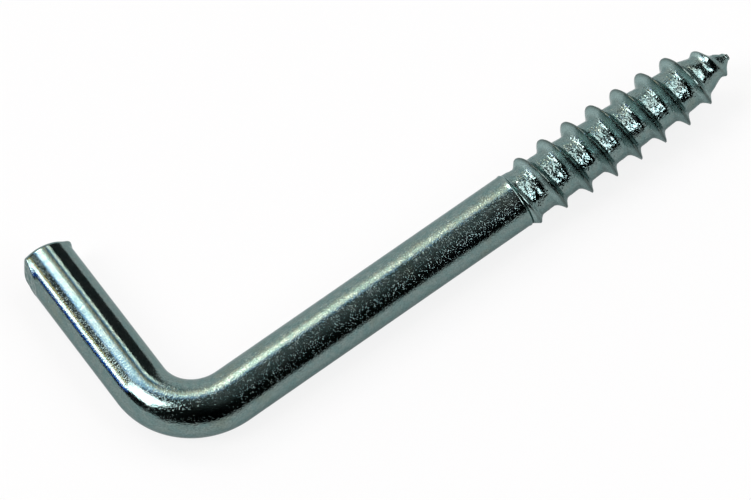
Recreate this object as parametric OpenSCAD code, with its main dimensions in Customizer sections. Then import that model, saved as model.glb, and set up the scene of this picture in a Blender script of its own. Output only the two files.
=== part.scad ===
// Screw-in hinge pin: one length of round steel wire, bent square.
// The plain short leg is the pin that a hinge eye turns on. The long leg ends in a
// right-hand wood-screw thread with a gimlet point.
// The part lies on the z = 0 plane as it comes to rest: the pin along +Y, the screw
// along +X and lifted a little at the thread, whose ridge is wider than the wire.

/* [Wire] */
// Diameter of the wire
wire_d = 5; // [4:0.1:7]
// Radius of the bend, to the middle of the wire
bend_r = 5.7; // [4.2:0.1:9]

/* [Pin leg] */
// Height of the pin, from the middle of the long leg to the middle of the cut end
pin_len = 21; // [16:0.5:35]
// Slant of the sheared end, longer on the outside of the bend
cut_slant = 6; // [0:0.5:10]
// Rounding of the end's rim
rim_r = 0.35; // [0.15:0.05:0.6]
// Depth of the shear's bruise at the cut end
bruise_depth = 0.5; // [0.3:0.05:1]
// Depth of the bruise at its inner end
bruise_rise = 0.2; // [0.1:0.05:0.6]
// Length of the bruise, back from the cut end to where it curves out
bruise_len = 2.7; // [1:0.1:5]
// Radius of the curve at the bruise's inner end
bruise_r = 0.8; // [0.4:0.1:2]
// Side of the bruise, turned from the inside of the bend over the upper face
bruise_turn = 180; // [90:1:270]

/* [Long leg] */
// Length of the plain shank, from the middle of the pin leg to the shoulder
shank_len = 35.2; // [20:0.1:60]
// Length of the bevel that steps the shank down to the thread's core
shoulder_len = 0.3; // [0.2:0.05:0.8]

/* [Thread] */
// Length of the thread, from the shoulder to the tip
thread_len = 22.4; // [14:0.5:40]
// Outside diameter of the thread
thread_d = 6.5; // [5.5:0.05:9]
// Diameter of the thread's core
core_d = 4.6; // [3.4:0.05:4.9]
// Distance from one turn of the thread to the next
thread_pitch = 2.58; // [2:0.02:3.6]
// Width of the ridge at its foot
ridge_foot = 1.5; // [1:0.05:1.9]
// Distance that the ridge's foot is shifted towards the shank, from under its crest
ridge_lean = 0.12; // [0:0.02:0.3]
// Width of the ridge at its crest
ridge_crest = 0.16; // [0.1:0.02:0.3]
// Length over which the ridge grows to its full height
ridge_run_in = 11; // [4:0.5:14]
// Turn of the ridge at the shoulder, from the pin's side over the upper face
thread_start = 98; // [0:1:359]

/* [Point] */
// Length of the tapered point
point_len = 5.1; // [3:0.1:9]
// Loss of core diameter between the shoulder and the point
core_taper = 0.4; // [0:0.05:0.8]
// Diameter of the blunt tip
tip_d = 0.4; // [0.2:0.05:0.8]
// Distance that the tip strays from the axis, away from the pin's side
tip_stray = 0.25; // [0:0.05:0.5]

/* [Hidden] */
$fn = 96;

wire_r = wire_d / 2;
core_r = core_d / 2;
ridge_h = (thread_d - core_d) / 2;
tip_x = shank_len + thread_len;

// The ridge starts this far inside the shoulder, too low to show there
ridge_hidden = 2.5;
// Distance into the thread where its core leaves the axis
stray_start = 1;

// Steps round one turn of the thread, and turns in which the point closes
turn_steps = 36;
closing_turns = 1.5;
// Distance before the tip at which the turns begin to close up
closing_len = 1.2;

// Powers of the curves: the ridge's swelling, its flanks, the core's taper and the point
swell_curve = 2;
flank_curve = 1.9;
taper_curve = 3;
point_curve = 1.9;
// Shares of the core's radius: how far its start is sunk under the shoulder's bevel, and
// the radius that the bevel ends at, just inside the thread's skin
core_sunk = 0.06;
bevel_end = 0.96;

// At rest the part stands on the pin leg and on the ridge, just before it is at its widest
rest_share = 0.9;
rest_x = shank_len + rest_share * (ridge_run_in - ridge_hidden);
rest_tilt = asin((thread_d / 2 - wire_r) / rest_x);

// Middle of the part's box, which the origin stands under
middle_x = (tip_x * cos(rest_tilt) - wire_r) / 2;
pin_top = pin_len + (wire_r - rim_r) * sin(cut_slant);
thread_reach = thread_d / 2 + stray_at(ridge_run_in - ridge_hidden);
middle_y = (pin_top - thread_reach) / 2;

// How full the ridge is at distance u from the shoulder: it swells, then fades at the point
function ridge_fill(u) =
    let (
        grown = min(max((u + ridge_hidden) / ridge_run_in, 0), 1),
        left = min(max((thread_len - u) / point_len, 0), 1)
    )
    (1 - pow(1 - grown, swell_curve)) * left;

// Radius of the core at distance u from the shoulder
function core_at(u) =
    let (
        body_len = thread_len - point_len,
        sunk = core_r * core_sunk * max(0, 1 - max(u, 0) / shoulder_len),
        tapered = pow(min(max(u, 0), body_len) / body_len, taper_curve),
        body_r = core_r - core_taper / 2 * tapered,
        v = min(max(u - body_len, 0) / point_len, 1)
    )
    tip_d / 2 + (body_r - sunk - tip_d / 2) * (1 - pow(v, point_curve));

// How far the core's middle has strayed at distance u from the shoulder
function stray_at(u) =
    tip_stray * max(0, u - stray_start) / (thread_len - stray_start);

// Distance from the shoulder after so many turns of the ridge: the pitch is even, and the
// last turns close up towards the tip
first_turn = -1;
closing_turn = (thread_len - closing_len) / thread_pitch;
last_turn = closing_turn + closing_turns;
function along(turn) =
    turn <= closing_turn
        ? turn * thread_pitch
        : thread_len - closing_len * exp(-(turn - closing_turn) * thread_pitch / closing_len);

// Section of one turn: [place across the pitch, share of the ridge's height]
foot = ridge_foot / thread_pitch / 2;
lean = ridge_lean / thread_pitch;
crest = ridge_crest / thread_pitch / 2;
turn_section = [
    [0, 0],
    for (side = [-1, 1])
        for (step = side < 0 ? [0 : 3] : [3 : -1 : 0])
            let (share = step / 3)
            [
                0.5 + side * (foot + (crest - foot) * share) - lean * (1 - share),
                pow(share, flank_curve)
            ]
];

// Point on the thread: `turn` winds along the ridge, and `part` crosses one pitch
function thread_point(turn, part, share) =
    let (
        u = along(turn - 0.5) + part * (along(turn + 0.5) - along(turn - 0.5)),
        radius = core_at(u) + ridge_h * ridge_fill(along(turn)) * share,
        angle = thread_start + 360 * turn
    )
    [shank_len + u, radius * cos(angle) - stray_at(u), radius * sin(angle)];

// Thread, core and gimlet point as one closed skin wound from helical strips
module thread() {
    across = len(turn_section);
    columns = ceil((last_turn - first_turn) * turn_steps);
    skin = [
        for (column = [0 : columns])
            for (spot = turn_section)
                thread_point(first_turn + column / turn_steps, spot[0], spot[1])
    ];
    edge = [
        for (step = [1 : turn_steps])
            thread_point(first_turn + (columns + step) / turn_steps, 0, 0)
    ];
    heel = len(skin) + len(edge);
    tip = heel + 1;
    points = concat(
        skin,
        edge,
        [[shank_len + along(first_turn - 0.5), 0, 0]],
        [[tip_x, -tip_stray, 0]]
    );
    // Number of a point: past the last place across a turn comes the next turn's first
    function spot_id(column, place) =
        place < across ? (column <= columns ? column * across + place : len(skin) + column - columns - 1)
                       : spot_id(column + turn_steps, 0);
    wound = [
        for (column = [0 : columns - 1])
            for (place = [0 : across - 1])
                each [
                    [spot_id(column, place), spot_id(column + 1, place + 1), spot_id(column + 1, place)],
                    [spot_id(column, place), spot_id(column, place + 1), spot_id(column + 1, place + 1)]
                ]
    ];
    heel_rim = concat(
        [for (column = [0 : turn_steps]) spot_id(column, 0)],
        [for (place = [across - 1 : -1 : 1]) spot_id(0, place)]
    );
    tip_rim = concat(
        [for (step = [0 : turn_steps]) spot_id(columns + step, 0)],
        [for (place = [across - 1 : -1 : 1]) spot_id(columns, place)]
    );
    function fan(rim, apex, out) = [
        for (i = [0 : len(rim) - 1])
            let (a = rim[i], b = rim[(i + 1) % len(rim)])
            out ? [apex, b, a] : [apex, a, b]
    ];
    polyhedron(points, concat(wound, fan(heel_rim, heel, false), fan(tip_rim, tip, true)));
}

// Cutter for the sheared end: a flat face with a rounded rim, outside the wire
module end_cutter() {
    rim_at = wire_r + rim_r * 0.1;
    rotate_extrude()
        difference() {
            translate([0, -rim_r]) square([wire_d, wire_d]);
            translate([0, -wire_d]) square([rim_at - rim_r, wire_d]);
            translate([0, -wire_d]) square([rim_at, wire_d - rim_r]);
            translate([rim_at - rim_r, -rim_r]) circle(r = rim_r);
        }
}

// Cutter for the bruise: a sloping flat that curves out of the wire at its inner end
module bruise_cutter() {
    slope = atan((bruise_depth - bruise_rise) / bruise_len);
    rotate([0, 0, slope]) {
        translate([0, -bruise_len, -wire_d]) cube([wire_d, bruise_len + wire_d, wire_d * 2]);
        translate([bruise_r, -bruise_len, -wire_d]) cylinder(r = bruise_r, h = wire_d * 2);
    }
}

// Pin leg, from the bend up to its sheared and bruised end
module pin_leg() {
    difference() {
        translate([0, bend_r, 0])
            rotate([-90, 0, 0]) cylinder(r = wire_r, h = pin_len + wire_r - bend_r);
        translate([0, pin_len, 0])
            rotate([0, 0, -cut_slant])
                rotate([-90, 0, 0]) end_cutter();
        translate([0, pin_len, 0])
            rotate([0, -bruise_turn, 0])
                translate([wire_r - bruise_depth, 0, 0]) bruise_cutter();
    }
}

// Quarter bend that joins the two legs
module bend() {
    translate([bend_r, bend_r, 0])
        rotate([0, 0, 180])
            rotate_extrude(angle = 90)
                translate([bend_r, 0]) circle(r = wire_r);
}

// Plain shank, bevelled down to the core at its shoulder
module shank() {
    translate([bend_r, 0, 0])
        rotate([0, 90, 0]) cylinder(r = wire_r, h = shank_len - bend_r);
    translate([shank_len, 0, 0])
        rotate([0, 90, 0]) cylinder(r1 = wire_r, r2 = core_r * bevel_end, h = shoulder_len);
}

module hinge_pin() {
    color([0.62, 0.68, 0.68])
        translate([-middle_x, -middle_y, wire_r])
            rotate([0, -rest_tilt, 0]) {
                pin_leg();
                bend();
                shank();
                thread();
            }
}

hinge_pin();
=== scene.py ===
import bpy, bmesh, math
from math import cos, sin, pi, radians
from mathutils import Matrix, Vector, noise


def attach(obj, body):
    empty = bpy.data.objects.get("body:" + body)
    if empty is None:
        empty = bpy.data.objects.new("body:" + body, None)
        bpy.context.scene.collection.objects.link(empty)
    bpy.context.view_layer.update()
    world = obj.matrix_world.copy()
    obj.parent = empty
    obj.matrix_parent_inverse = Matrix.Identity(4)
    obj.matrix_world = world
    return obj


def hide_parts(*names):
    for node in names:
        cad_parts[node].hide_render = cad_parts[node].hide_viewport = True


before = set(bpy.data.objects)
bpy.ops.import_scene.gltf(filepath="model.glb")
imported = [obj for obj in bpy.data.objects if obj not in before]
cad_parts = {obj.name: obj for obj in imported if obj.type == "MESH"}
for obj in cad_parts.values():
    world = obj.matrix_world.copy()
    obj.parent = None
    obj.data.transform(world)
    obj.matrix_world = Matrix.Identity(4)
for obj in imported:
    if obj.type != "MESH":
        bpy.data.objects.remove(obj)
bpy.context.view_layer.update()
millimetre = 0.001
print("frame loaded")


camera = {
    "place": (-0.078656, -0.199959, 0.400304),
    "lookAt": (-0.004427, -0.005087, 0.0025),
    "roll": -15.518,                # degrees about the line of sight
    "lens": 252.0,                  # millimetres
    "sensor": 36,
    "clip": (0.02, 50),
}

cameraData = bpy.data.cameras.new("camera")
cameraData.lens = camera["lens"]
cameraData.sensor_width = camera["sensor"]
cameraData.clip_start, cameraData.clip_end = camera["clip"]
cameraObject = bpy.data.objects.new("camera", cameraData)
bpy.context.scene.collection.objects.link(cameraObject)
aim = Vector(camera["lookAt"]) - Vector(camera["place"])
roll = Matrix.Rotation(radians(camera["roll"]), 4, "Z").to_quaternion()
cameraObject.rotation_mode = "QUATERNION"
cameraObject.rotation_quaternion = aim.to_track_quat("-Z", "Y") @ roll
cameraObject.location = camera["place"]
bpy.context.scene.camera = cameraObject
print("camera placed")


# the wire and its thread are modelled straight along x in millimetres, then bent;
# turns round the wire are in degrees, from the inside of the bend over the top
wire = {
    "radius": 2.5,
    "bendRadius": 5.7,              # to the middle of the wire
    "pinLength": 20.985,            # from the middle of the long leg to the cut
    "shankEnd": 35.2,               # from the middle of the pin leg to the shoulder
    "columns": 150,                 # faces round the wire
    "ringStep": 0.36,               # length of the faces along the wire
    "bendStep": 0.2,                # shorter ones round the bend
    "bendSpan": (-5, 6.5),
    "endStep": 0.12,                # and at the sheared end
    "endSpan": 4.5,
    # the shoulder starts this far back: a small lip pushed up by the rolling, then a step down,
    # as (step, radius)
    "shoulderSpan": 0.5,
    "shoulderRings": ((0.15, 2.5), (0.12, 2.51), (0.1, 2.54), (0.08, 2.54),
                      (0.05, 2.51), (0.05, 2.47), (0.05, 2.43)),
}

# the pin leg's free end, as the shears left it
shear = {
    "reach": 6.0,                   # how far from the cut end the wire is changed
    "slant": 6.0,                   # degrees
    "slantFade": 3.0,               # the slant dies out over this length
    "rim": 0.35,
    "rimRings": 6,
    "faceRings": (1.95, 1.75, 1.5, 1.2, 0.9, 0.6, 0.3, 0.12),
    "bruiseTurn": 168,
    "bruiseDepth": 0.6,             # at the cut, and none at its inner end
    "bruiseLength": 2.6,
    "bruiseSoft": 0.14,             # half the width of its rounded edge
    "bruiseFade": 0.1,              # it dies out where it is shallower than this
    "bruiseRough": 0.12,
    "roughScales": (1.7, 3.1),
    "lip": 0.05,                    # metal pushed up at the bruise's edge
    "lipWidth": 0.1,
    "lipReach": 0.35,
    "lipFade": 0.15,
    "burr": 0.24,                   # how far the burr stands out of the rim
    "burrTurn": 12,
    "burrSpread": 15,
    "burrLength": 0.5,
    "burrLean": 0.5,                # share of it that leans out past the cut
}

thread = {
    "length": 22.4,
    "outside": 3.2465,
    "core": 2.3,
    "coreTaper": 0.2,
    "taperCurve": 3,
    "pitch": 2.58,
    "start": radians(98),           # turn of the ridge at the shoulder
    "runIn": 11.0,                  # the ridge swells over this length,
    "hidden": 2.5,                  # of which this much is inside the shank
    "swellCurve": 2,                # power that rounds its swelling
    "point": 5.1,
    "pointCurve": 1.9,
    "tip": 0.2,
    "stray": 0.25,                  # how far the tip strays from the axis
    "strayStart": 1,
    "closing": 1.2,                 # the turns close up over this length before the tip
    "shankFlank": 0.88,             # width of the ridge's side towards the shank
    "shankHollow": 1.7,             # and the power that hollows it
    "tipFlank": 0.62,
    "tipHollow": 2.0,
    "crest": 0.07,                  # half its width
    "crestMaskPower": 6,                 # power that keeps the crest's mask, with its olive and its painted dark reflection, near its top
    "rows": 30,                     # rows of faces across one pitch
    "rootFall": 0.14,               # each root falls towards the point
    "shoulderRise": 0.1,            # the core is thicker where it leaves the shank
    "shoulderFade": 1.4,
    "crumple": 0.05,                # depth of the folds in the rolled roots
    "foldScales": (2.2, 3.6),
    "crumpleFade": 7,               # the folds are deeper this near to the shoulder
    "smoothTip": 20,                # from here to the tip the metal is clean and bright
    "cut": 0.12,                    # the thread is cut off here and joined to the shoulder
    # metal left over by the rolling: distance, turn, half its length, half its spread, height
    "lumps": ((20.3, 20, 0.5, 40, 0.14), (21.05, 20, 0.25, 60, -0.14), (21.35, 205, 0.35, 45, 0.26),
              (19.2, 110, 0.4, 30, 0.08), (20.6, 95, 0.4, 30, 0.1), (0.5, 200, 0.4, 45, 0.12)),
}

arcLength = pi / 2 * wire["bendRadius"]
pinEnd = wire["bendRadius"] - arcLength - (wire["pinLength"] - wire["bendRadius"])
bruiseFacing = Vector((0, cos(radians(shear["bruiseTurn"])), sin(radians(shear["bruiseTurn"]))))


def smooth(x):
    x = min(max(x, 0.0), 1.0)
    return x * x * (3 - 2 * x)


def hump(x, width):
    return math.exp(-(x / width) ** 2)


def pushRing(bm, edges, move, radius):
    # extrudes a ring of edges along the wire and brings it to a new radius
    start = edges[0].verts[0].co
    scale = radius / math.hypot(start.y, start.z)
    made = bmesh.ops.extrude_edge_only(bm, edges=edges)["geom"]
    verts = [g for g in made if isinstance(g, bmesh.types.BMVert)]
    fresh = set(verts)
    bmesh.ops.translate(bm, verts=verts, vec=(move, 0, 0))
    bmesh.ops.scale(bm, verts=verts, vec=(1, scale, scale))
    return [g for g in made if isinstance(g, bmesh.types.BMEdge) and fresh.issuperset(g.verts)]


def makeWire(bm):
    # a ring near the sheared end is pushed one way to the shoulder, the other way over the rim
    x, shoulderStart = pinEnd + shear["rim"], wire["shankEnd"] - wire["shoulderSpan"]
    upright = Matrix.Translation((x, 0, 0)) @ Matrix.Rotation(pi / 2, 4, "Y")
    circle = bmesh.ops.create_circle(bm, segments=wire["columns"], radius=wire["radius"],
                                     matrix=upright)
    start = list({e for v in circle["verts"] for e in v.link_edges})
    bendStart, bendEnd = wire["bendSpan"]
    ring = start
    while x < shoulderStart:
        step = wire["ringStep"]
        if x < pinEnd + wire["endSpan"]:
            step = wire["endStep"]
        elif bendStart < x < bendEnd:
            step = wire["bendStep"]
        step = min(step, shoulderStart - x + 1e-9)
        ring = pushRing(bm, ring, step, wire["radius"])
        x += step
    for step, radius in wire["shoulderRings"]:
        ring = pushRing(bm, ring, step, radius)
    shoulder = ring
    ring, before = start, 0
    for i in range(shear["rimRings"]):
        a = pi / 2 * (i + 1) / shear["rimRings"]
        radius = wire["radius"] - shear["rim"] * (1 - cos(a))
        ring = pushRing(bm, ring, before - shear["rim"] * sin(a), radius)
        before = shear["rim"] * sin(a)
    for radius in shear["faceRings"]:
        ring = pushRing(bm, ring, 0, radius)
    bmesh.ops.contextual_create(bm, geom=ring)
    return shoulder


def makeThread(bm):
    # a line along the core is wound once round with one pitch of lead, so that its two edges
    # meet as one skin
    steps, pitch = wire["columns"], thread["pitch"]
    spareTurns, turnsInside = 3, 1.6
    rows = round((thread["length"] / pitch + spareTurns) * thread["rows"])
    line = [bm.verts.new((wire["shankEnd"] - turnsInside * pitch, thread["core"], 0))]
    edges = []
    for i in range(rows):
        made = bmesh.ops.extrude_vert_indiv(bm, verts=[line[-1]])
        fresh = made["verts"][0]
        bmesh.ops.translate(bm, verts=[fresh], vec=(pitch / thread["rows"], 0, 0))
        line.append(fresh)
        edges += made["edges"]
    bmesh.ops.spin(bm, geom=line + edges, cent=(0, 0, 0), axis=(1, 0, 0), dvec=(pitch / steps, 0, 0),
                   angle=2 * pi, steps=steps, use_merge=False)
    bmesh.ops.remove_doubles(bm, verts=bm.verts, dist=0.002)


def coreAt(u):
    # radius of the core at distance u from the shoulder
    body = thread["length"] - thread["point"]
    tapered = (min(max(u, 0), body) / body) ** thread["taperCurve"]
    radius = thread["core"] - thread["coreTaper"] * tapered
    pointed = min(max(u - body, 0) / thread["point"], 1) ** thread["pointCurve"]
    return thread["tip"] + (radius - thread["tip"]) * (1 - pointed)


def ridgeFill(u):
    # how full the ridge is: it swells from the shoulder, then fades at the point
    grown = min(max((u + thread["hidden"]) / thread["runIn"], 0), 1)
    left = min(max((thread["length"] - u) / thread["point"], 0), 1)
    return (1 - (1 - grown) ** thread["swellCurve"]) * left


def along(turn):
    # distance from the shoulder after so many turns, which close up towards the tip
    pitch, closing = thread["pitch"], thread["closing"]
    last = (thread["length"] - closing) / pitch
    if turn <= last:
        return turn * pitch
    return thread["length"] - closing * math.exp(-(turn - last) * pitch / closing)


def strayAt(u):
    return thread["stray"] * max(0, u - thread["strayStart"]) / (thread["length"] - thread["strayStart"])


def foldDepth(u, y, z, share):
    # the rolled roots are crumpled, more so by the shoulder and less by the tip
    spot = Vector((u, y, z))
    coarse, sharp = thread["foldScales"]
    fold = noise.noise(spot * coarse) * 0.7 + abs(noise.noise(spot * sharp + Vector((7, 1, 3)))) - 0.2
    rough = (1 - share) * (0.5 + 0.5 * smooth(1 - u / thread["crumpleFade"])) * smooth((u + 0.2) / 0.6)
    return thread["crumple"] * fold * rough * min(1, (thread["length"] - u) / 1.5)


def windThread(bm, rootLayer, crestLayer, strayLayer):
    pitch = thread["pitch"]
    height = thread["outside"] - thread["core"]
    for v in bm.verts:
        angle = math.atan2(v.co.z, v.co.y)
        turn = (v.co.x - wire["shankEnd"]) / pitch
        # place across the ridge, in pitches from its crest and negative towards the shank
        part = turn - (angle - thread["start"]) / (2 * pi)
        part -= round(part)
        side = "shank" if part < 0 else "tip"
        u, crestU = along(turn), along(turn - part)
        # share of the ridge's height
        down = (abs(part) * pitch - thread["crest"]) / (thread[side + "Flank"] - thread["crest"])
        share = min(max(1 - down, 0), 1) ** thread[side + "Hollow"]
        fill = ridgeFill(crestU)
        fall = math.copysign(0.5 - abs(part), part) * thread["rootFall"] * (1 - share) * smooth(u)
        rise = thread["shoulderRise"] * (1 - smooth(u / thread["shoulderFade"])) * (1 - share)
        radius = coreAt(u) + height * fill * share + fall + rise + foldDepth(u, v.co.y, v.co.z, share)
        for lumpU, lumpTurn, long, wide, lift in thread["lumps"]:
            apart = (math.degrees(angle) - lumpTurn + 180) % 360 - 180
            radius += lift * hump(u - lumpU, long) * hump(apart, wide)
        v.co = Vector((wire["shankEnd"] + u, radius * cos(angle), radius * sin(angle)))
        # the root ends half way up the ridge
        v[rootLayer] = max(smooth((0.5 - share) / 0.4), smooth((u - thread["smoothTip"]) / 0.6))
        # the crest mask carries the olive and the painted dark reflection on the crests
        v[crestLayer] = share ** thread["crestMaskPower"] * min(1, fill * 1.5)
        v[strayLayer] = strayAt(u)


def bendWire(p):
    # x runs along the wire; past the bend's start it turns towards +y
    r = wire["bendRadius"]
    if p.x >= r:
        return p.copy()
    a = min((r - p.x) / r, pi / 2)
    rest = max(0, r - p.x - arcLength)
    return Vector((r - sin(a) * (r - p.y), r - cos(a) * (r - p.y) + rest, p.z))


def shearEnd(p):
    # the sheared end: a bruise on the outside of the bend, a slanted cut, and a burr on the inside
    fromEnd = p.x - pinEnd
    if fromEnd > shear["reach"]:
        return p
    q = p.copy()
    soft = shear["bruiseSoft"]
    depth = shear["bruiseDepth"] * max(0, 1 - fromEnd / shear["bruiseLength"])
    over = p.dot(bruiseFacing) - wire["radius"] + depth     # height over the bruise's floor
    if over > -shear["lipReach"] and depth > 0:
        cut = max(over + soft, 0) ** 2 / (4 * soft) if over < soft else over
        cut *= smooth(depth / shear["bruiseFade"])
        lip = shear["lip"] * hump(over + shear["lipWidth"], shear["lipWidth"])
        lip *= smooth(depth / shear["lipFade"])
        coarse, sharp = shear["roughScales"]
        uneven = noise.noise(p * coarse) + 0.45 * noise.noise(p * sharp) + 0.5
        uneven *= shear["bruiseRough"] * smooth((over + soft) / 0.3) * smooth(fromEnd / 0.4)
        q += bruiseFacing * (lip - cut - uneven)
    q.x += smooth(1 - fromEnd / shear["slantFade"]) * math.tan(radians(shear["slant"])) * q.y
    if math.hypot(p.y, p.z) > wire["radius"] - shear["rim"] * 1.2:
        turn = math.degrees(math.atan2(p.z, p.y)) - shear["burrTurn"]
        burr = shear["burr"] * hump(turn, shear["burrSpread"])
        burr *= smooth(1 - (fromEnd - 0.1) / shear["burrLength"])
        q.y += burr
        q.x -= burr * shear["burrLean"]
    return q


bm = bmesh.new()
layers = bm.verts.layers
for name in ("root", "crest", "stray"):
    layers.float.new(name)
layers.float_vector.new("straight")
makeThread(bm)
windThread(bm, layers.float["root"], layers.float["crest"], layers.float["stray"])
cutAt = (wire["shankEnd"] + thread["cut"], 0, 0)
cut = bmesh.ops.bisect_plane(bm, geom=bm.verts[:] + bm.edges[:] + bm.faces[:], dist=1e-5,
                             plane_co=cutAt, plane_no=(1, 0, 0), clear_inner=True)
threadEnd = [g for g in cut["geom_cut"] if isinstance(g, bmesh.types.BMEdge)]
tipRim = [e for e in bm.edges if e.is_boundary and e not in set(threadEnd)]
bmesh.ops.contextual_create(bm, geom=tipRim)
print("thread wound")

shoulder = makeWire(bm)
bmesh.ops.bridge_loops(bm, edges=shoulder + threadEnd)
bmesh.ops.recalc_face_normals(bm, faces=bm.faces)
straight, strayed = layers.float_vector["straight"], layers.float["stray"]
for v in bm.verts:
    v[straight] = v.co
    v.co = bendWire(shearEnd(v.co) - Vector((0, v[strayed], 0)))
print("wire bent")

# the part lies on the pin leg and on the ridge near its fullest, so the long leg is lifted a little
fullest = thread["runIn"] - thread["hidden"]
restShare = 0.9
tilt = math.asin((thread["outside"] - wire["radius"]) / (wire["shankEnd"] + restShare * fullest))
middleX = ((wire["shankEnd"] + thread["length"]) * cos(tilt) - wire["radius"]) / 2
pinTop = wire["pinLength"] + (wire["radius"] - shear["rim"]) * sin(radians(shear["slant"]))
middleY = (pinTop - thread["outside"] - strayAt(fullest)) / 2
place = (Matrix.Scale(millimetre, 4) @ Matrix.Translation((-middleX, -middleY, wire["radius"]))
         @ Matrix.Rotation(-tilt, 4, "Y"))
bmesh.ops.transform(bm, matrix=place, verts=bm.verts)
for face in bm.faces:
    face.smooth = True
mesh = bpy.data.meshes.new("hingePinSteel")
bm.to_mesh(mesh)
bm.free()
sharpAngle = radians(40)
mesh.set_sharp_from_angle(angle=sharpAngle)
hingePin = bpy.data.objects.new("hingePinSteel", mesh)
bpy.context.scene.collection.objects.link(hingePin)
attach(hingePin, "root")
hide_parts("hinge_pin")
mesh.calc_loop_triangles()
print("hinge pin made:", len(mesh.loop_triangles), "triangles")


# these helpers add to the node tree that nodes and links belong to at the time
def node(kind, **settings):
    made = nodes.new(kind)
    for key, value in settings.items():
        setattr(made, key, value)
    return made


def feed(made, **sockets):
    # sockets are fed by name or as i0, i1 and so on, with a value or with another node's output
    for key, value in sockets.items():
        byNumber = key[0] == "i" and key[1:].isdigit()
        socket = made.inputs[int(key[1:])] if byNumber else made.inputs[key.replace("_", " ")]
        if isinstance(value, bpy.types.NodeSocket):
            links.new(value, socket)
        else:
            socket.default_value = value
    return made


def stretched(source, scale):
    return feed(node("ShaderNodeMapping"), Vector=source, Scale=scale).outputs[0]


def noiseOf(source, scale, detail, roughness=0.5, kind="FBM"):
    made = node("ShaderNodeTexNoise", noise_type=kind)
    return feed(made, Vector=source, Scale=scale, Detail=detail, Roughness=roughness).outputs[0]


def remap(value, low, high, toLow=0.0, toHigh=1.0, kind="SMOOTHSTEP"):
    made = node("ShaderNodeMapRange", interpolation_type=kind)
    return feed(made, Value=value, From_Min=low, From_Max=high, To_Min=toLow, To_Max=toHigh).outputs[0]


def maths(operation, first, second):
    return feed(node("ShaderNodeMath", operation=operation), i0=first, i1=second).outputs[0]


def multiply(first, second):
    return maths("MULTIPLY", first, second)


def blendColour(amount, first, second):
    made = node("ShaderNodeMix", data_type="RGBA")
    first = first if isinstance(first, bpy.types.NodeSocket) else (*first, 1)
    return feed(made, i0=amount, i6=first, i7=(*second, 1)).outputs[2]


# bright zinc; depths are in millimetres, and scales in cells to the millimetre
zinc = {
    "teal": (0.138, 0.213, 0.208),
    "grey": (0.175, 0.235, 0.225),
    "olive": (0.18, 0.205, 0.16),
    # dark specks at random, also laid on the crests as a painted dark reflection
    "darkSpeckAndCrestShade": (0.03, 0.045, 0.05),
    "flank": (0.26, 0.365, 0.355),  # the ridge's sides, lighter as painted light
    "edgeTint": (0.65, 0.72, 0.72),
    "mottle": (0.72, 1.28),         # least and most share of the colour
    "mottleScale": 9.0,
    "broadScale": 0.35,
    "patchScale": 1.3,
    "fineScale": 7.0,
    "pinRoughness": 0.06,
    "shankRoughness": 0.09,         # the long leg is duller towards its thread
    "rootRoughness": 0.05,
    "flankRoughness": 0.32,
    "roughnessSpread": (-0.02, 0.05),
    "grain": 0.0135,
    "grainScale": 9.5,
    "pinGrain": 0.45,               # share of the grain on the pin
    "ridgeGrain": 0.2,              # and on the ridge
    "chatter": 0.005,               # waves across the pin
    "draw": 0.002,                  # lines from drawing the wire
    "creases": 0.055,               # in the thread's roots
    "creaseScale": 3.4,
    "tipCreases": 0.2,              # share of them left near the tip
    "creaseFade": (17.0, 20.5),
    "pits": 0.0065,
    "pitScale": 8.0,
    "pinPits": 0.25,
    "nicks": 0.03,
}

zincMaterial = bpy.data.materials.new("brightZinc")
zincMaterial.use_nodes = True
nodes, links = zincMaterial.node_tree.nodes, zincMaterial.node_tree.links
shader = nodes["Principled BSDF"]
shader.inputs["Metallic"].default_value = 1
shader.inputs["Specular Tint"].default_value = (*zinc["edgeTint"], 1)

# the wire's straight coordinates in millimetres, so that the marks follow it round the bend
wireCoords = node("ShaderNodeAttribute", attribute_name="straight").outputs["Vector"]
root = node("ShaderNodeAttribute", attribute_name="root").outputs["Fac"]
crest = node("ShaderNodeAttribute", attribute_name="crest").outputs["Fac"]
wireAxes = feed(node("ShaderNodeSeparateXYZ"), i0=wireCoords).outputs
alongWire, sideways = wireAxes["X"], wireAxes["Y"]
onThread = remap(alongWire, wire["shankEnd"] - 0.3, wire["shankEnd"] + 0.4)
onPin = remap(alongWire, 2.0, -4.0)
flank = multiply(onThread, maths("SUBTRACT", 1.0, maths("MAXIMUM", root, crest)))

broad = noiseOf(wireCoords, zinc["broadScale"], 3)
patchy = noiseOf(wireCoords, zinc["patchScale"], 4, 0.6)
fine = noiseOf(wireCoords, zinc["fineScale"], 3, 0.6)

# colour: teal and grey patches, olive here and there and on the crests, and dark specks; the crests are
# also darkened as a painted dark reflection, and the ridge's sides are made lighter as painted light
tealGrey = blendColour(remap(patchy, 0.35, 0.65), zinc["teal"], zinc["grey"])
oliveAmount = maths("MAXIMUM", multiply(crest, 0.5), multiply(remap(broad, 0.55, 0.75), 0.45))
toneAndPaintedLight = blendColour(oliveAmount, tealGrey, zinc["olive"])
# the ridge's sides get a lighter colour: painted light
toneAndPaintedLight = blendColour(flank, toneAndPaintedLight, zinc["flank"])
mottled = remap(noiseOf(wireCoords, zinc["mottleScale"], 2, 0.7), 0.3, 0.7, *zinc["mottle"], "LINEAR")
toneAndPaintedLight = feed(node("ShaderNodeVectorMath", operation="SCALE"), i0=toneAndPaintedLight, Scale=mottled).outputs[0]
# dark specks at random, and the crests darkened as a painted dark reflection
specksAndCrestShade = multiply(maths("MAXIMUM", remap(fine, 0.66, 0.74), crest), 0.6)
feed(shader, Base_Color=blendColour(specksAndCrestShade, toneAndPaintedLight, zinc["darkSpeckAndCrestShade"]))

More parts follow.
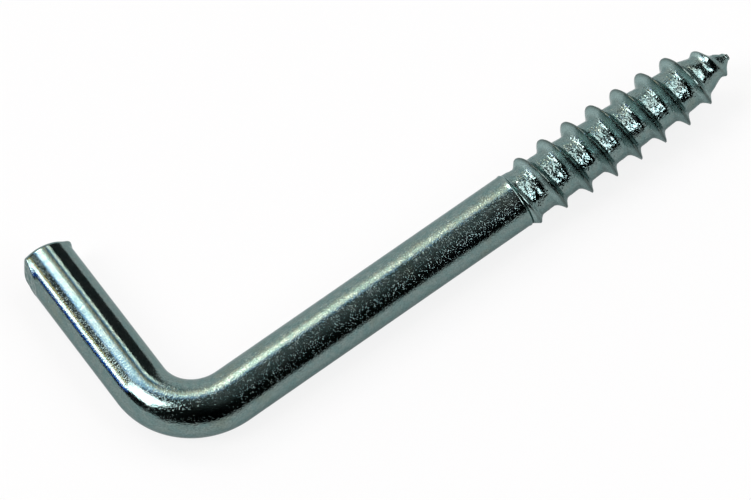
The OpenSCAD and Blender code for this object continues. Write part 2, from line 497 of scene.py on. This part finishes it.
# roughness: clean on the pin, duller along the shank, uneven everywhere
dull = remap(alongWire, -2.0, 33.0, zinc["pinRoughness"], zinc["shankRoughness"], "LINEAR")
dull = maths("ADD", dull, multiply(onThread, zinc["rootRoughness"] - zinc["shankRoughness"]))
dull = maths("ADD", dull, multiply(flank, zinc["flankRoughness"] - zinc["rootRoughness"]))
dull = maths("ADD", dull, remap(fine, 0.3, 0.8, *zinc["roughnessSpread"], "LINEAR"))
feed(shader, Roughness=dull)

# grain: shallower on the pin, hardly any on the ridge
grain = noiseOf(stretched(wireCoords, (0.75, 1, 1)), zinc["grainScale"], 1, 0.6)
grainDepth = remap(onPin, 0, 1, zinc["grain"], zinc["grain"] * zinc["pinGrain"])
grainDepth = multiply(grainDepth, remap(patchy, 0.25, 0.7, 0.75, 1.2))
onRidge = multiply(onThread, maths("SUBTRACT", 1.0, root))
relief = multiply(grain, multiply(grainDepth, remap(onRidge, 0, 1, 1, zinc["ridgeGrain"])))

# chatter across the pin, stronger where the shears scuffed it, and lines from drawing the wire
chatter = noiseOf(stretched(wireCoords, (9, 1.8, 1.8)), 1.0, 3, 0.6)
fromShear = maths("ADD", alongWire, multiply(sideways, 0.5))
scuffed = remap(fromShear, pinEnd + 3.2, pinEnd + 1.4, 1.0, 1.6)
relief = maths("ADD", relief, multiply(chatter, multiply(multiply(onPin, zinc["chatter"]), scuffed)))
draw = noiseOf(stretched(wireCoords, (0.05, 5, 5)), 1.0, 2)
relief = maths("ADD", relief, multiply(draw, zinc["draw"]))

# creases in the roots, which fade towards the tip
creases = noiseOf(wireCoords, zinc["creaseScale"], 3, 0.6, "RIDGED_MULTIFRACTAL")
fadeStart, fadeEnd = (wire["shankEnd"] + u for u in zinc["creaseFade"])
creaseDepth = remap(alongWire, fadeStart, fadeEnd, zinc["creases"], zinc["creases"] * zinc["tipCreases"])
relief = maths("ADD", relief, multiply(creases, multiply(multiply(root, onThread), creaseDepth)))

# nicks, and pits that are shallower on the pin
nicks = remap(noiseOf(stretched(wireCoords, (1.6, 3.2, 3.2)), 1.3, 3, 0.65), 0.71, 0.78)
relief = maths("SUBTRACT", relief, multiply(nicks, zinc["nicks"]))
pits = remap(noiseOf(wireCoords, zinc["pitScale"], 1), 0.58, 0.74)
pitDepth = remap(onPin, 0, 1, zinc["pits"], zinc["pits"] * zinc["pinPits"])
pitDepth = multiply(pitDepth, remap(patchy, 0.3, 0.6, 0.7, 1.1))
relief = maths("SUBTRACT", relief, multiply(pits, pitDepth))
bump = feed(node("ShaderNodeBump"), Height=relief, Distance=millimetre, Strength=1.0)
feed(shader, Normal=bump.outputs[0])
mesh.materials.append(zincMaterial)
print("zinc made")


paleFloor = {
    "size": 12.0,                   # metres
    "colour": (0.62, 0.62, 0.62),
    "seenShare": 0.85,              # how much of the seen floor is plain white; the rest takes the shadow
    "mirroredShare": 0.32,          # and how much of the floor that the metal mirrors
}

bm = bmesh.new()
bmesh.ops.create_grid(bm, x_segments=1, y_segments=1, size=paleFloor["size"] / 2)
floorMesh = bpy.data.meshes.new("floor")
bm.to_mesh(floorMesh)
bm.free()
floor = bpy.data.objects.new("floor", floorMesh)
bpy.context.scene.collection.objects.link(floor)

floorMaterial = bpy.data.materials.new("paleFloor")
floorMaterial.use_nodes = True
nodes, links = floorMaterial.node_tree.nodes, floorMaterial.node_tree.links
nodes.clear()
ray = node("ShaderNodeLightPath").outputs
seen = multiply(ray["Is Camera Ray"], paleFloor["seenShare"])
mirrored = maths("MAXIMUM", ray["Is Glossy Ray"], ray["Is Transmission Ray"])
mirrored = multiply(mirrored, paleFloor["mirroredShare"])
plain = feed(node("ShaderNodeBsdfDiffuse"), Color=(*paleFloor["colour"], 1)).outputs[0]
white = feed(node("ShaderNodeEmission"), Color=(1, 1, 1, 1), Strength=1.0).outputs[0]
mixed = feed(node("ShaderNodeMixShader"), i0=maths("ADD", seen, mirrored), i1=plain, i2=white).outputs[0]
feed(node("ShaderNodeOutputMaterial"), Surface=mixed)
floorMesh.materials.append(floorMaterial)
print("floor laid")


# each lamp: the two ends of its middle line as directions from the part, its width, radiance and colour
lampDistance = 0.9
lamps = {
    "backSoftbox": ((-0.25, 0.585, 0.76), (-0.01, 0.585, 0.8), 0.28, 9.0, (1.0, 0.94, 0.94)),
    "backSoftboxEnd": ((-0.01, 0.585, 0.8), (0.08, 0.585, 0.81), 0.28, 9.5, (1.0, 0.8, 0.55)),
    "backBlueSide": ((-0.28, 0.385, 0.87), (0.16, 0.385, 0.9), 0.08, 2.0, (0.12, 0.48, 1.0)),
    "backWarmSide": ((-0.28, 0.785, 0.55), (0.16, 0.785, 0.59), 0.08, 2.4, (1.0, 0.66, 0.36)),
    "backBlueEnd": ((-0.315, 0.41, 0.85), (-0.315, 0.72, 0.6), 0.08, 2.6, (0.1, 0.4, 1.0)),
    "backWarmEnd": ((0.2, 0.42, 0.88), (0.2, 0.72, 0.67), 0.1, 1.4, (1.0, 0.66, 0.32)),
    "leftStrip": ((-0.775, 0.56, 0.28), (-0.765, 0.34, 0.535), 0.09, 10.0, (1.0, 0.94, 0.92)),
    "leftStripBlue": ((-0.84, 0.48, 0.22), (-0.835, 0.34, 0.43), 0.05, 2.6, (0.05, 0.22, 1.0)),
    "leftStripWarm": ((-0.7, 0.58, 0.41), (-0.685, 0.36, 0.62), 0.06, 2.8, (1.0, 0.62, 0.22)),
    "leftSoftbox": ((-0.8, 0.19, 0.57), (-0.38, 0.18, 0.905), 0.4, 9.0, (1.0, 0.96, 0.96)),
    "rightStrip": ((0.52, 0.34, 0.78), (0.45, 0.64, 0.62), 0.08, 5.0, (1.0, 0.9, 0.78)),
    "rightStripBlue": ((0.43, 0.34, 0.83), (0.37, 0.64, 0.67), 0.06, 1.6, (0.12, 0.48, 1.0)),
    "rightOverhead": ((0.43, -0.22, 0.88), (0.43, 0.33, 0.84), 0.24, 4.5, (1.0, 0.96, 0.95)),
    "tipSoftbox": ((0.64, -0.6, 0.48), (0.7, 0.15, 0.69), 0.3, 5.0, (1.0, 0.97, 0.96)),
    "frontSoftbox": ((0.42, -0.77, 0.47), (0.42, -0.46, 0.78), 0.24, 9.0, (0.92, 0.95, 1.0)),
}
for name, (oneEnd, otherEnd, width, radiance, colour) in lamps.items():
    oneEnd, otherEnd = Vector(oneEnd).normalized(), Vector(otherEnd).normalized()
    away = (oneEnd + otherEnd).normalized()
    lengthways = (otherEnd - oneEnd).normalized()
    data = bpy.data.lights.new(name, "AREA")
    data.shape = "RECTANGLE"
    data.size = width * lampDistance
    data.size_y = (otherEnd - oneEnd).length * lampDistance
    data.energy = radiance * data.size * data.size_y * pi
    data.color = colour
    lamp = bpy.data.objects.new(name, data)
    lamp.location = away * lampDistance
    lamp.rotation_mode = "QUATERNION"
    facing = Matrix((lengthways.cross(away), lengthways, away)).transposed()
    lamp.rotation_quaternion = facing.to_quaternion()
    bpy.context.scene.collection.objects.link(lamp)
print("lamps hung")


# the world, by direction from the part; each range gives where it starts and ends along an axis,
# and the values there
sky = {
    "sweepBehind": (0.45, 0.85, -0.05, 0.58),           # height of a pale sweep, along y
    "sweepLeft": (-0.3, -0.85, 0.0, 0.12),              # along x
    "sweepCorner": (-0.85, -0.92, 0.0, 0.15),           # along x
    "cornerSides": ((-0.35, -0.12, 0, 1), (0.75, 0.6, 0, 1)),           # along y
    "sweepGlow": (-0.02, 0.04, 0.0, 1.05),              # over its upper edge
    "ceiling": (-0.8, 0.0, 0.005, 0.18),                # along y
    "ceilingSides": ((0.3, 0.65, 1.0, 0.25), (-0.4, 0.0, 0.1, 1.0)),    # along x
    "ceilingSpecks": (0.42, 0.64, 0.25, 2.6),
    "speckScale": 14,
    "spill": (0.32, 0.08, 0.35, 1.7),                   # light spilt round the back softbox, along x
    "spillEdges": (("Y", 0.34, 0.43, 0, 1), ("Y", 0.84, 0.74, 0, 1), ("X", -0.36, -0.3, 0.08, 1),
                   ("X", -0.74, -0.66, 0, 1), ("X", 0.62, 0.5, 0, 1)),
}

world = bpy.data.worlds.new("studio")
bpy.context.scene.world = world
world.use_nodes = True
nodes, links = world.node_tree.nodes, world.node_tree.links
direction = node("ShaderNodeTexCoord").outputs["Generated"]
axes = feed(node("ShaderNodeSeparateXYZ"), i0=direction).outputs

corner = remap(axes["X"], *sky["sweepCorner"])
for edge in sky["cornerSides"]:
    corner = multiply(corner, remap(axes["Y"], *edge))
sweep = maths("ADD", remap(axes["Y"], *sky["sweepBehind"]), remap(axes["X"], *sky["sweepLeft"]))
sweep = maths("ADD", sweep, corner)
glow = remap(maths("SUBTRACT", sweep, axes["Z"]), *sky["sweepGlow"])

speckled = remap(noiseOf(direction, sky["speckScale"], 2), *sky["ceilingSpecks"])
ceiling = multiply(remap(axes["Y"], *sky["ceiling"]), speckled)
for edge in sky["ceilingSides"]:
    ceiling = multiply(ceiling, remap(axes["X"], *edge))
spill = remap(axes["X"], *sky["spill"])
for axis, *edge in sky["spillEdges"]:
    spill = multiply(spill, remap(axes[axis], *edge))
brightest = maths("MAXIMUM", glow, maths("MAXIMUM", ceiling, spill))
feed(nodes["Background"], Color=(1, 1, 1, 1), Strength=brightest)
bpy.context.scene.view_settings.view_transform = "Standard"
print("studio lit")
